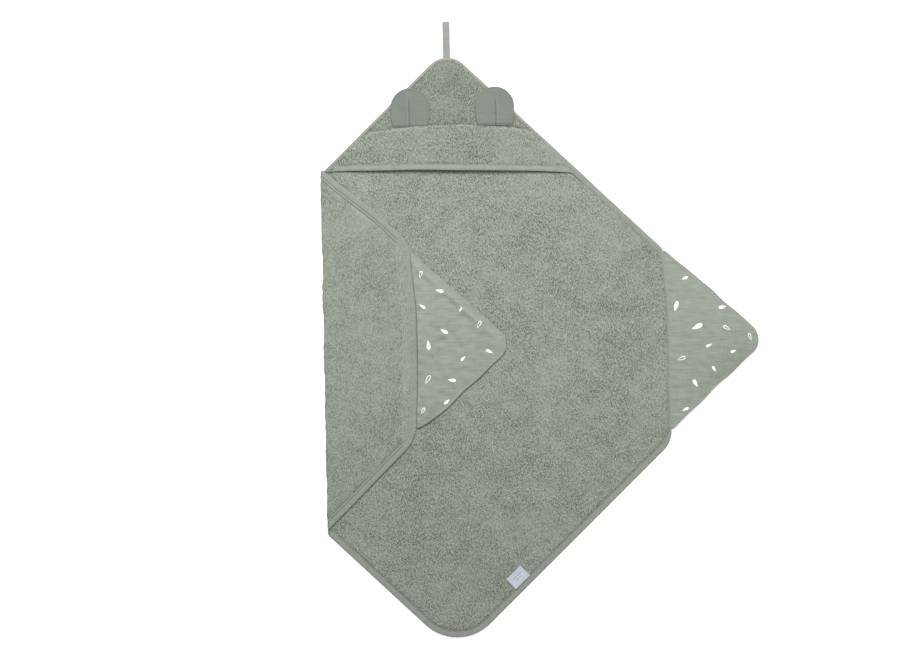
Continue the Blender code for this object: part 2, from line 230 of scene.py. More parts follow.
def rounded(corners, radii, steps=14):
    corners = np.array(corners, float)
    points = []
    for i, radius in enumerate(radii):
        corner = corners[i]
        before = corners[i - 1] - corner
        after = corners[(i + 1) % len(corners)] - corner
        before /= np.linalg.norm(before)
        after /= np.linalg.norm(after)
        half = math.acos(before @ after) / 2
        middle = before + after
        centre = corner + middle / np.linalg.norm(middle) * radius / math.sin(half)
        start = corner + before * radius / math.tan(half) - centre
        for k in range(steps + 1):
            angle = (math.pi - 2 * half) * k / steps
            turn = np.array([[math.cos(angle), -math.sin(angle)], [math.sin(angle), math.cos(angle)]])
            points.append(centre + turn @ start)
    return np.array(points)


def polygon_area(loop):
    x, y = loop.T
    return abs(np.sum(x * np.roll(y, -1) - y * np.roll(x, -1))) / 2


def with_height(flat, height):
    """Flat points with one height, or a height each, as their Z."""
    return np.column_stack([flat, np.broadcast_to(height, len(flat))])


# ---- mesh building ----


def triangulate(loop, spacing, rings=(), loops=(), lines=(), seed=1):
    """Flat triangles that fill a loop, with the given loops and lines among their edges."""
    inward = normals_of(loop)
    ring_points = [loop + inward * ring for ring in rings]
    low, high = loop.min(0), loop.max(0)
    rows = np.arange(low[1], high[1], spacing * 0.866)
    columns = np.arange(low[0], high[0], spacing)
    grid = np.array([(x + (j % 2) * spacing / 2, y) for j, y in enumerate(rows) for x in columns])
    grid += np.random.default_rng(seed).normal(0, spacing * 0.08, grid.shape)
    margin = (max(rings) if rings else 0) + 0.55 * spacing
    grid = grid[inside(grid, loop)]
    grid = grid[distance(grid, loop) > margin]
    for other in loops:
        grid = grid[distance(grid, other) > 0.3 * spacing]
    for other in lines:
        grid = grid[distance(grid, other, False) > 0.4 * spacing]
    points, edges, count = [], [], 0
    for group, closed in (([loop, *loops], True), (lines, False)):
        for other in group:
            steps = len(other) if closed else len(other) - 1
            edges += [(count + i, count + (i + 1) % len(other)) for i in range(steps)]
            points.append(other)
            count += len(other)
    points = np.concatenate([*points, *ring_points, grid])
    made = delaunay_2d_cdt([Vector(p) for p in points], edges, [], 0, 1e-6)
    flat = np.array([v[:] for v in made[0]])
    faces = np.array(made[2])
    faces = faces[inside(flat[faces].mean(1), loop)]
    a, b, c = (flat[faces[:, i]] for i in range(3))
    area = (b - a)[:, 0] * (c - a)[:, 1] - (b - a)[:, 1] * (c - a)[:, 0]
    solid = np.abs(area) > 1e-12
    faces, area = faces[solid], area[solid]
    faces[area < 0] = faces[area < 0][:, ::-1]
    used, faces = np.unique(faces, return_inverse=True)
    return flat[used], faces.reshape(-1, 3)


class Cloth:
    """Gathers the vertices and faces of one piece."""

    underside = np.array([0, 0, 0.031])  # keeps the weave of a sheet's back out of step with its front

    def __init__(self, name):
        self.name = name
        self.points, self.places, self.weights = [], [], []
        self.faces, self.slots = [], []
        self.count = 0

    def add(self, points, faces, slots=0, places=None, weights=None):
        points = np.asarray(points, float)
        self.points.append(points)
        self.places.append(points if places is None else places)
        self.weights.append(np.zeros(len(points)) if weights is None else weights)
        self.faces += [[int(i) + self.count for i in face] for face in faces]
        self.slots += list(np.broadcast_to(slots, len(faces)))
        self.count += len(points)

    def add_sheet(self, top, bottom, faces, places, slots_top=0, slots_bottom=0, weights=None):
        """A closed sheet between two layers of the same triangles."""
        count = len(top)
        directed = {(f[i], f[(i + 1) % 3]) for f in faces.tolist() for i in range(3)}
        rim = [(b, a, a + count, b + count) for a, b in sorted(directed) if (b, a) not in directed]
        every = faces.tolist() + (faces[:, ::-1] + count).tolist() + rim
        layers = [np.broadcast_to(slots, len(faces)) for slots in (slots_top, slots_bottom)]
        slots = np.concatenate([*layers, np.zeros(len(rim), int)])
        both = np.concatenate([places, places + self.underside])
        doubled = None if weights is None else np.concatenate([weights, weights])
        self.add(np.concatenate([top, bottom]), every, slots, both, doubled)

    def add_laid(self, flat, high, low, *rest, **named):
        """A sheet between two heights, laid down where it is."""
        self.add_sheet(laid(with_height(flat, high)), laid(with_height(flat, low)), *rest, **named)

    def lay(self):
        self.points = [laid(points) for points in self.points]

    def build(self, materials, sharp, slot, nodes, blend=None):
        """Makes the piece, which replaces these CAD nodes and may bend between two bodies."""
        mesh = bpy.data.meshes.new(self.name)
        points = np.concatenate(self.points)
        mesh.from_pydata(points.tolist(), [], self.faces)
        mesh.polygons.foreach_set("material_index", np.array(self.slots, np.int32))
        mesh.polygons.foreach_set("use_smooth", np.ones(len(self.faces), bool))
        place = mesh.attributes.new("cloth_place", "FLOAT_VECTOR", "POINT")
        place.data.foreach_set("vector", np.concatenate(self.places).astype(np.float32).ravel())
        for material in materials:
            mesh.materials.append(material)
        mesh.update()
        mesh.set_sharp_from_angle(angle=math.radians(sharp))
        obj = bpy.data.objects.new(self.name, mesh)
        bpy.context.scene.collection.objects.link(obj)
        if blend:
            weights = np.concatenate(self.weights).astype(np.float32)
            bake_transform(obj, *blend, start=(0, 0, 0), end=(1, 0, 0))
            mesh.attributes["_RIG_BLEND"].data.foreach_set("value", weights)
        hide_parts(*nodes)
        return obj


def tube_faces(rings, around, closed):
    """Faces of a skin over rings of points. An open skin gets a cap at each end."""
    faces = []
    for i in range(rings if closed else rings - 1):
        a, b = i * around, (i + 1) % rings * around
        faces += [(a + j, b + j, b + (j + 1) % around, a + (j + 1) % around) for j in range(around)]
    if not closed:
        last = (rings - 1) * around
        faces += [tuple(range(around)), tuple(last + j for j in reversed(range(around)))]
    return faces


# A folded tape's section: distance in from its outer edge as a share of its width, height as a share of its
# height. It goes round the outside and back inside the fold.
TAPE_SECTION = np.array(
    [(1.00, 0.90), (0.93, 0.95), (0.85, 0.84), (0.76, 0.95), (0.50, 1.00), (0.28, 1.00), (0.12, 0.93)]
    + [(0.03, 0.76), (0.00, 0.50), (0.03, 0.24), (0.12, 0.07), (0.28, 0.00), (0.50, 0.00), (0.72, 0.02)]
    + [(0.84, 0.06), (0.92, 0.34), (1.00, 0.08), (1.12, 0.00), (1.24, 0.04), (1.31, 0.16), (1.27, 0.32)]
    + [(0.50, 0.30), (0.12, 0.50), (0.50, 0.70), (1.00, 0.72)]
)
STITCH_AT = (0.92, 0.85)  # share of the tape's width, on its back and its front
STITCH_LEVEL = (0.33, 0.85)  # share of its height, on its back and its front
STITCH_SPACING = 0.0034
STITCH_LENGTH = 0.0024
STITCH_RADIUS = 0.0003


def tape_on(cloth, line, inward, width, low, high, closed, seed, stitch_sides=(1, 0)):
    """Adds a folded tape along a flat line, in flat coordinates, with its stitches."""
    count = len(line)
    along = length_along(line)
    width, low, high = (np.broadcast_to(size, count) for size in (width, low, high))
    wobble = 0.0004 * waves(along, 0.045, seed)
    pucker = 0.06 * waves(along, 0.0085, seed + 3)
    share, height = TAPE_SECTION.T
    inset = share * (width + wobble)[:, None]
    middle = np.sin(np.pi * np.clip(share / BACK_WIDTH, 0, 1)) ** 0.5
    lift = np.where(height > 0.6, pucker[:, None] * middle, 0)
    tall = (high - low)[:, None]
    z = low[:, None] + tall * np.clip(height + lift - 0.02 * middle, 0, 1.08)
    flat = line[:, None] + inward[:, None] * inset[..., None]
    points = np.concatenate([flat, z[..., None]], 2).reshape(-1, 3)
    across = inset * np.where(height < 0.5, -1, 1)
    places = with_height(np.column_stack([np.repeat(along, len(share)), across.ravel()]), 0.1 * seed)
    cloth.add(points, tube_faces(count, len(share), closed), 0, places)
    fine = even(np.column_stack([line, inward, width, low, high]), STITCH_SPACING, closed)
    for side in stitch_sides:
        for row in fine:
            spot, direction = row[:2], row[2:4] / np.linalg.norm(row[2:4])
            reach, under, over = row[4:]
            level = under + (over - under) * STITCH_LEVEL[side]
            add_stitch(cloth, [*(spot + direction * reach * STITCH_AT[side]), level], direction, 1)


def add_stitch(cloth, centre, inward, slot):
    """A short thread that runs at right angles to the inward direction."""
    centre = np.array(centre)
    forward = np.array([inward[1], -inward[0], 0])
    across = np.array([*inward, 0])
    up = np.array([0, 0, 1.0])
    points = [centre - forward * STITCH_LENGTH / 2, centre + forward * STITCH_LENGTH / 2]
    for at, size in ((-0.3, 0.8), (0.0, 1.0), (0.3, 0.8)):
        for k in range(4):
            angle = math.pi / 2 * k
            out = (across * math.cos(angle) + up * math.sin(angle)) * STITCH_RADIUS * size
            points.append(centre + forward * STITCH_LENGTH * at + out)
    faces = []
    for k in range(4):
        n = (k + 1) % 4
        faces.append((0, 2 + n, 2 + k))
        for ring in (2, 6):
            faces.append((ring + k, ring + n, ring + 4 + n, ring + 4 + k))
        faces.append((1, 10 + k, 10 + n))
    cloth.add(points, faces, slot)


# ---- materials ----


def new_material(name, **constants):
    """A material and its shader, with the constants on the shader's own sockets."""
    material = bpy.data.materials.new(name)
    material.use_nodes = True
    shader = material.node_tree.nodes["Principled BSDF"]
    for key, value in constants.items():
        shader.inputs[key.replace("_", " ")].default_value = value
    return material, shader


class Nodes:
    """Short calls for building a material out of nodes."""

    def __init__(self, name, **constants):
        self.material, self.shader = new_material(name, **constants)
        self.tree = self.material.node_tree
        self.place = self.make("ShaderNodeAttribute", attribute_name="cloth_place").outputs["Vector"]

    def make(self, kind, sockets=None, **settings):
        node = self.tree.nodes.new(kind)
        for key, value in settings.items():
            setattr(node, key, value)
        for key, value in (sockets or {}).items():
            if isinstance(value, bpy.types.NodeSocket):
                self.tree.links.new(value, node.inputs[key])
            else:
                node.inputs[key].default_value = value
        return node

    def moved(self, scale, turn=0.0):
        sockets = {"Vector": self.place, "Scale": scale, "Rotation": (0, 0, turn)}
        return self.make("ShaderNodeMapping", sockets).outputs["Vector"]

    def split(self):
        return self.make("ShaderNodeSeparateXYZ", {"Vector": self.place}).outputs

    def noise(self, scale, detail=2.0, rough=0.5, vector=None, distortion=0.0):
        sockets = {"Vector": vector or self.place, "Scale": scale, "Detail": detail}
        sockets.update({"Roughness": rough, "Distortion": distortion})
        return self.make("ShaderNodeTexNoise", sockets).outputs["Fac"]

    def cells(self, scale, vector):
        sockets = {"Vector": vector, "Scale": scale, "Randomness": 1.0}
        return self.make("ShaderNodeTexVoronoi", sockets, feature="F1").outputs["Distance"]

    def bands(self, wavelength, direction, distortion, detail_scale=1.0):
        """Soft bands from 0 to 1, one for each wavelength in metres."""
        sockets = {"Vector": self.place, "Scale": 2 * math.pi / 20 / wavelength, "Detail": 2.0}
        sockets.update({"Distortion": distortion, "Detail Scale": detail_scale})
        node = self.make("ShaderNodeTexWave", sockets, bands_direction=direction, wave_type="BANDS")
        return node.outputs["Fac"]

    def math(self, operation, a, b=0.0):
        return self.make("ShaderNodeMath", {0: a, 1: b}, operation=operation).outputs[0]

    def total(self, *terms):
        """The sum of each value times its share."""
        parts = [self.math("MULTIPLY", value, share) for value, share in terms]
        result = parts[0]
        for part in parts[1:]:
            result = self.math("ADD", result, part)
        return result

    def span(self, value, low, high, to_low=0.0, to_high=1.0, soft=False):
        sockets = {"Value": value, "From Min": low, "From Max": high, "To Min": to_low, "To Max": to_high}
        kind = "SMOOTHSTEP" if soft else "LINEAR"
        return self.make("ShaderNodeMapRange", sockets, interpolation_type=kind).outputs["Result"]

    def ramp(self, value, *stops):
        node = self.make("ShaderNodeValToRGB", {"Fac": value})
        elements = node.color_ramp.elements
        while len(elements) < len(stops):
            elements.new(0.5)
        for element, (position, color) in zip(elements, stops):
            element.position = position
            element.color = (*color, 1)
        return node.outputs["Color"]

    def tones(self, value, base, *stops):
        """A ramp over shades of one colour."""
        return self.ramp(value, *((position, shade(base, factor)) for position, factor in stops))

    def line(self, value, at, half):
        """1 where the value is at this place, falling softly to 0 on both sides."""
        away = self.math("ABSOLUTE", self.math("SUBTRACT", value, at))
        return self.span(away, 0.0, half, 1.0, 0.0, soft=True)

    def tint(self, factor, color, tone):
        node = self.make("ShaderNodeMix", {0: factor, 6: color, 7: (*tone, 1)}, data_type="RGBA")
        return node.outputs[2]

    def finish(self, color, roughness, height, depth, strength):
        bump = self.make("ShaderNodeBump", {"Height": height, "Distance": depth, "Strength": strength})
        self.tree.links.new(bump.outputs["Normal"], self.shader.inputs["Normal"])
        self.tree.links.new(color, self.shader.inputs["Base Color"])
        if roughness is not None:
            self.tree.links.new(roughness, self.shader.inputs["Roughness"])
        return self.material


def shade(color, factor):
    return tuple(channel * factor for channel in color)


SAGE = (0.238, 0.262, 0.224)
MUSLIN_SAGE = (0.232, 0.256, 0.221)
EAR_SAGE = (0.147, 0.164, 0.144)
TAPE_SAGE = (0.218, 0.240, 0.209)
SHEEN_TINT = (0.75, 0.82, 0.73, 1)
MUSLIN_GLOSS = {"Roughness": 0.9, "Sheen_Weight": 0.12, "Specular_IOR_Level": 0.2}


def terry_material(name, base, contrast):
    """Loops of pile that lean one way, in uneven patches, with painted shade of the loops in their colour."""
    n = Nodes(
        name,
        Roughness=1.0,
        Sheen_Weight=0.10,
        Sheen_Roughness=0.6,
        Sheen_Tint=SHEEN_TINT,
        Specular_IOR_Level=0.10,
    )
    leaning_pile = n.moved((1.0, 0.50, 1.0), 0.62)
    tufts = n.noise(740, 2.0, 0.6, leaning_pile, 0.4)
    loops = n.cells(760, leaning_pile)
    specks = n.noise(310, 1.0, 0.5, leaning_pile)
    patches = n.noise(36, 3.0, 0.6)
    wide = n.noise(8, 2.0, 0.5)
    rough_spots = n.span(n.math("ADD", patches, wide), 0.75, 1.25, 1.3, 0.75)
    # The pile's fine light and dark is partly its own uneven tone and partly painted shade of the loops. The
    # loops' cells darken the colour between them as painted shade.
    pile = n.math("SUBTRACT", n.total((tufts, 1.30), (specks, 0.34)), 0.82)
    tone = n.total((pile, rough_spots), (loops, -0.20), (patches, 0.26), (wide, 0.16))
    tone = n.span(tone, 0.14 - 0.25 / contrast, 0.14 + 0.25 / contrast)
    color = n.tones(tone, base, (0.0, 0.34), (0.30, 0.74), (0.55, 1.03), (1.0, 1.50))
    height = n.total((tufts, 1.0), (loops, -0.5), (specks, 0.5))
    return n.finish(color, n.span(tufts, 0.3, 0.7, 0.95, 1.0), height, 0.0018, 0.8 * contrast)


def muslin_weave(n, base, contrast=1.0):
    """Colour, roughness and height of double gauze, crinkled in short level streaks."""
    warp = n.bands(0.0024, "X", 1.5, 2.0)
    weft = n.bands(0.0019, "Y", 1.5, 2.0)
    weave = n.total((warp, 0.35), (weft, 0.65))
    slub = n.noise(330, 2.0, 0.6)
    streaks = n.noise(1.0, 3.0, 0.6, n.moved((38, 330, 1)))
    upright = n.noise(1.0, 2.0, 0.6, n.moved((300, 30, 1)))
    crinkle = n.noise(60, 2.0, 0.5)
    tone = n.total((weave, 0.22), (slub, 0.18), (streaks, 0.40), (upright, 0.10), (crinkle, 0.10))
    tone = n.span(tone, 0.5 - 0.16 / contrast, 0.5 + 0.16 / contrast)
    color = n.tones(tone, base, (0.0, 0.78), (0.5, 1.0), (1.0, 1.17))
    return color, n.span(slub, 0.3, 0.7, 0.85, 0.98), n.total((weave, 0.5), (streaks, 1.2))


def muslin_material():
    n = Nodes("muslin_weave", **MUSLIN_GLOSS)
    return n.finish(*muslin_weave(n, MUSLIN_SAGE), 0.0006, 0.8)


def ear_material():
    """Plain muslin, with painted shade in its ironed crease and a painted highlight along it."""
    n = Nodes("ear_muslin", **MUSLIN_GLOSS)
    color, rough, height = muslin_weave(n, EAR_SAGE, 0.55)
    place = n.split()
    outwards = n.math("ABSOLUTE", place["X"])
    # The crease is darkened in the colour as painted shade.
    crease = n.line(outwards, EAR_PLACE + EAR_CREASE, 0.0012)
    crease = n.math("MULTIPLY", crease, n.span(place["Y"], 0.040, 0.052, 0.65, 0.0, soft=True))
    color = n.tint(crease, color, shade(EAR_SAGE, 0.45))
    # A painted highlight along the crease's lit side.
    painted_highlight = n.math("MULTIPLY", n.line(outwards, EAR_PLACE + EAR_CREASE + 0.003, 0.0025), 0.30)
    color = n.tint(painted_highlight, color, shade(EAR_SAGE, 1.35))
    return n.finish(color, rough, height, 0.0005, 0.7)


def print_material():
    """White ink on the weave, a little worn where the threads stand up."""
    n = Nodes("white_print", Roughness=0.8)
    _, rough, height = muslin_weave(n, MUSLIN_SAGE)
    color = n.ramp(
        n.span(n.noise(700, 2.0, 0.7), 0.28, 0.60),
        (0.0, (0.66, 0.70, 0.65)),
        (0.35, (0.86, 0.88, 0.85)),
        (1.0, (0.93, 0.94, 0.92)),
    )
    return n.finish(color, rough, height, 0.0005, 0.6)


def tape_material():
    """Ribbed tape, with painted shade in its seam's groove and along its edges."""
    n = Nodes("binding_tape", Roughness=0.85, Sheen_Weight=0.1, Specular_IOR_Level=0.25)
    ribs = n.bands(0.0016, "X", 0.6)
    threads = n.bands(0.0009, "Y", 0.4)
    slub = n.noise(300, 3.0, 0.6)
    gather = n.noise(1.0, 3.0, 0.6, n.moved((170, 34, 1)))
    tone = n.total((ribs, 0.26), (threads, 0.10), (slub, 0.24), (gather, 0.40))
    color = n.tones(n.span(tone, 0.32, 0.68), TAPE_SAGE, (0.0, 0.80), (0.5, 1.0), (1.0, 1.14))
    across = n.split()["Y"]
    # Painted shade: the seam's groove and the tape's inner edges are darkened in the colour.
    back_groove = n.line(across, -STITCH_AT[0] * BINDING_WIDTH, 0.0009)
    back_edge = n.line(across, -BACK_WIDTH * BINDING_WIDTH, 0.0008)
    front_edge = n.math("MULTIPLY", n.line(across, BINDING_WIDTH, 0.0006), 0.5)
    painted_seam_shade = n.math("MAXIMUM", n.math("MAXIMUM", back_groove, back_edge), front_edge)
    color = n.tint(n.math("MULTIPLY", painted_seam_shade, 0.60), color, shade(TAPE_SAGE, 0.42))
    height = n.total((ribs, 0.5), (gather, 1.0))
    return n.finish(color, n.span(slub, 0.3, 0.7, 0.8, 0.95), height, 0.0005, 0.7)


def thread_material():
    n = Nodes("sewing_thread", Roughness=0.7)
    twist = n.noise(2500, 1.0)
    color = n.tones(twist, TAPE_SAGE, (0.3, 0.42), (0.7, 0.66))
    return n.finish(color, None, twist, 0.0001, 0.5)


def label_material():
    n = Nodes("label_satin", Roughness=0.45, Sheen_Weight=0.2)
    weave = n.bands(0.0007, "X", 0.2)
    slub = n.noise(500, 2.0)
    tone = n.total((weave, 0.4), (slub, 0.6))
    color = n.ramp(tone, (0.25, (0.36, 0.40, 0.47)), (0.7, (0.47, 0.51, 0.57)))
    return n.finish(color, n.span(slub, 0.3, 0.7, 0.38, 0.55), weave, 0.0002, 0.5)


def label_ink_material():
    n = Nodes("label_grey_marks", Roughness=0.6)
    slub = n.noise(900, 2.0)
    color = n.ramp(slub, (0.3, (0.16, 0.20, 0.25)), (0.7, (0.30, 0.35, 0.41)))
    return n.finish(color, None, slub, 0.0001, 0.3)


TERRY_CLOTH = terry_material("terry_loops", SAGE, 0.92)
# The crown's and the brow's terry are darker copies of the towel's terry, as painted shade.
CROWN_SHADED_CLOTH = terry_material("crown_loops", shade(SAGE, 0.79), 0.95)
BROW_SHADED_CLOTH = terry_material("brow_loops", shade(SAGE, 0.93), 0.92)
BACK_CLOTH = terry_material("back_loops", shade(SAGE, 0.96), 0.74)
FACING_CLOTH = terry_material("short_loops", SAGE, 0.50)
MUSLIN_CLOTH = muslin_material()
EAR_CLOTH = ear_material()
PRINT = print_material()
TAPE_CLOTH = tape_material()
THREAD = thread_material()
TAPE_AND_THREAD = [TAPE_CLOTH, THREAD]


# ---- where the flat cloth lies ----


def ground(x, y):
    """The slight unevenness that all the layers share."""
    return 0.0005 + 0.00035 * ripples(x, y, 0.15, 5)


def laid(points):
    points = np.array(points, float)
    points[:, 2] += ground(points[:, 0], points[:, 1])
    return points


def folded(points):
    """Places flat cloth, with room for the roll in its X, and says how far each point turns with the wing."""
    x, y, z = np.asarray(points, float).T
    turn = np.clip((FOLD_X - x) / ROLL, 0, 1)
    beyond = np.maximum(FOLD_X - ROLL - x, 0)
    before = np.maximum(x - FOLD_X, 0)
    radius = FOLD_Z - z
    outwards = np.sin(turn * np.pi)
    dent = 1 - 0.10 * np.abs(waves(y, 0.02, 2)) * outwards
    wave = 0.0011 * waves(y, 0.11, 8) + 0.0005 * waves(y, 0.018, 4)
    rest_x = FOLD_X + before + beyond + (wave - radius * dent) * outwards
    rest_z = FOLD_Z - radius * np.cos(turn * np.pi)
    slip_at_fold = 0.009 - 0.015 * y
    slip = (slip_at_fold + (WING_SLIP - slip_at_fold) * smooth(beyond / 0.10)) * smooth(turn)
    lean_x, lean_y = cut_lean(y + slip)
    share = smooth((beyond - 0.07) / 0.08)
    right_x, right_y = right_lean(y, smooth((x - 0.27) / 0.08))
    rest_x = rest_x + lean_x * share + right_x
    return laid(np.stack([rest_x, y + slip + lean_y * share + right_y, rest_z], 1)), turn


def cut_lean(y):
    """How far the wing's cut edge, and the mitt on it, lean away from a straight line at this height."""
    above, below = smooth((y - 0.05) / 0.12), smooth((-y - 0.02) / 0.12)
    return -0.009 * above - 0.004 * below, 0.0085 * above - 0.0030 * below


def right_lean(y, share):
    """The right cut edge's upper corner, and the mitt on it, lie a little further up and in."""
    above = smooth((y - 0.05) / 0.12) * share
    return -0.0090 * above, 0.0085 * above


# ---- outlines ----

RIGHT_CORNERS = [(0, -HALF_HEIGHT), (CUT_X, -CUT_Y), (CUT_X, CUT_Y)]
TOWEL_CORNERS = RIGHT_CORNERS + [(-x, -y) for x, y in RIGHT_CORNERS]
TOWEL_RADII = [BOTTOM_RADIUS, CUT_RADIUS, 0.2 * CUT_RADIUS, TIP_RADIUS, CUT_RADIUS, 1.5 * CUT_RADIUS]
flat_outline = even(rounded(TOWEL_CORNERS, TOWEL_RADII), 0.004, True)


def outline_with_roll():
    """The towel's outline with a short level stretch for the roll at each end of the fold."""
    points, inward = [], []
    for i, direction in enumerate(normals_of(flat_outline)):
        here, after = flat_outline[i], flat_outline[(i + 1) % len(flat_outline)]
        points.append((here[0] - ROLL if here[0] < FOLD_X else here[0], here[1]))
        inward.append(direction)
        if (here[0] - FOLD_X) * (after[0] - FOLD_X) < 0:
            t = (FOLD_X - here[0]) / (after[0] - here[0])
            y = here[1] + t * (after[1] - here[1])
            for k in range(9) if after[0] < here[0] else reversed(range(9)):
                points.append((FOLD_X - 1e-9 - k / 8 * ROLL, y))
                inward.append(direction)
    return np.array(points), np.array(inward)


outline, outline_inward = outline_with_roll()


def right_cut_share(x, y):
    """1 along the right cut edge, 0 elsewhere."""
    return smooth((CUT_Y - 0.002 - np.abs(y)) / 0.020) * smooth((x - CUT_X + 0.03) / 0.01)


def binding_width(x, y):
    return BINDING_WIDTH + (RIGHT_CUT_BINDING_WIDTH - BINDING_WIDTH) * right_cut_share(x, y)


# ---- terry towel ----


def pile_height(x, y, full):
    """Unevenness of the loops' tops, where the terry isn't pressed."""
    return full * (0.00022 * ripples(x, y, 0.0105, 11, 9) + 0.00025 * ripples(x, y, 0.05, 12))


def terry_layers(flat, pressed, low, high, press_low, press_high, seed):
    """Top and bottom of a terry sheet: flat under a binding where pressed is 1, and full elsewhere."""
    x, y = flat.T
    full = 1 - pressed
    top = press_high + (high - press_high) * full + pile_height(x, y + seed, full)
    bottom = press_low + (low - press_low) * full - np.abs(pile_height(x + seed, y, full)) * 0.5
    return top, bottom


def towel_terry():
    spacing = 0.004
    loop = outline + outline_inward * TERRY_INSET
    facing_x = -(CUT_X + ROLL) + FACING
    facing = np.array([(facing_x, y) for y in np.arange(-CUT_Y - spacing, CUT_Y + spacing + 0.0001, spacing)])
    facing = facing[inside(facing, loop) & (distance(facing, loop) > spacing)]
    rows = np.arange(-0.30, 0.30, spacing)
    columns = [np.array([(FOLD_X - ROLL * k / 8, y) for y in rows]) for k in range(9)]
    rings = (0.003, 0.005, 0.0065, 0.008, 0.0095, 0.011, 0.013)
    flat, faces = triangulate(loop, 0.0042, rings, lines=[facing, *columns])
    edge = distance(flat, outline)
    x, y = flat.T
    reach = binding_width(x, y)
    pressed = 1 - smooth((edge - reach - 0.0002) / 0.0030)
    pressed_back = 1 - smooth((edge - reach * BACK_WIDTH - 0.0006) / 0.0026)
    gather = 0.0004 * ripples(x, y, 0.009, 21) * bell(edge - reach - 0.003, 0.003)
    top = terry_layers(flat, pressed, 0.0, TERRY, 0.0009, 0.0018, 0.0)[0] + gather * (1 - pressed)
    bottom = terry_layers(flat, pressed_back, 0.0, TERRY, 0.0012, 0.0018, 0.0)[1]
    bottom = np.minimum(bottom, top - 0.0006)
    on_facing = smooth((facing_x - x + 0.001) / 0.002)
    bottom = bottom * (1 - on_facing) + on_facing * (0.0002 + 0.0001 * ripples(x, y, 0.03, 31))
    groove = 0.0007 * bell(x - facing_x, 0.0016) * (np.abs(y) < CUT_Y + 0.02)
    upper, turn = folded(with_height(flat, top))
    lower, _ = folded(with_height(flat, np.maximum(bottom, 0) + groove))
    slots_bottom = np.where(flat[faces].mean(1)[:, 0] < facing_x, 1, 2)
    cloth = Cloth("towel_terry")
    cloth.add_sheet(upper, lower, faces, with_height(flat, 0.0), 0, slots_bottom, turn)
    materials = [TERRY_CLOTH, FACING_CLOTH, BACK_CLOTH]
    return cloth.build(materials, 60, "terry", ["body_panel", "left_wing_panel"], ("towel_body", "left_wing"))


def edge_binding():
    cloth = Cloth("edge_binding")
    tape_on(cloth, outline, outline_inward, binding_width(*outline.T), 0.0, BINDING_HEIGHT, True, 2)
    placed = [folded(points) for points in cloth.points]
    cloth.points = [points for points, _ in placed]
    cloth.weights = [turn for _, turn in placed]
    nodes = ["body_binding", "left_wing_binding"]
    return cloth.build(TAPE_AND_THREAD, 70, "binding_tape", nodes, ("towel_body", "left_wing"))


# ---- hood ----

HALF_ANGLE = math.atan2(HALF_WIDTH, HALF_HEIGHT)
TIP_CENTRE = HALF_HEIGHT - TIP_RADIUS / math.sin(HALF_ANGLE)
TIP_Y = 0.4995  # above this height an edge's distance is taken from the tip's arc
HOOD_BODIES = ("towel_body", "hood")


def half_width(y, inset):
    """Half the width of the hood at this height, this far inside the towel's outline."""
    y = np.asarray(y, float)
    radius = TIP_RADIUS - inset
    on_arc = y > TIP_CENTRE + radius * math.sin(HALF_ANGLE)
    arc = np.sqrt(np.maximum(radius**2 - (y - TIP_CENTRE) ** 2, 0))
    straight = (HALF_HEIGHT - y) * HALF_WIDTH / HALF_HEIGHT - inset * EDGE / HALF_HEIGHT
    return np.where(on_arc, arc, straight)


def from_edge(x, y):
    """Distance in from the hood's slanted edge."""
    return (half_width(y, 0.0) - np.abs(x)) * HALF_HEIGHT / EDGE


def hood_lift(x, y):
    across = 1 - np.minimum(1, np.abs(x) / np.maximum(half_width(y, 0.0103), 1e-6)) ** 2
    along = np.maximum(HALF_HEIGHT - y, 0) / HOOD_DEPTH
    return HOOD_RISE * across * along**1.5


def seam_y(x):
    return BROW_SEAM_Y - x**2 / (2 * BROW_SEAM_RADIUS)


def mouth_droop(x):
    """The hood's open edge hangs lower towards its right end."""
    share = x / MOUTH_REACH
    return 0.004 * (1 - share**2) - 0.0045 * (1 + share)


def hood_side(inset, low, high):
    """The hood's right edge from one height up to another, round the tip if it gets there."""
    radius = TIP_RADIUS - inset
    arc_start = TIP_CENTRE + radius * math.sin(HALF_ANGLE)
    points = [(float(half_width(y, inset)), y) for y in np.linspace(low, min(high, arc_start), 60)]
    if high > arc_start:
        for angle in np.linspace(HALF_ANGLE, math.pi / 2, 16)[1:]:
            points.append((radius * math.cos(angle), TIP_CENTRE + radius * math.sin(angle)))
    return np.array(points)


def hood_weight(x, y):
    """How far a point goes with the hood: the slanted seams stay with the towel."""
    band = 0.012 + 0.036 * smooth((0.372 - y) / 0.055)
    return smooth((from_edge(x, y) - 0.006) / band)


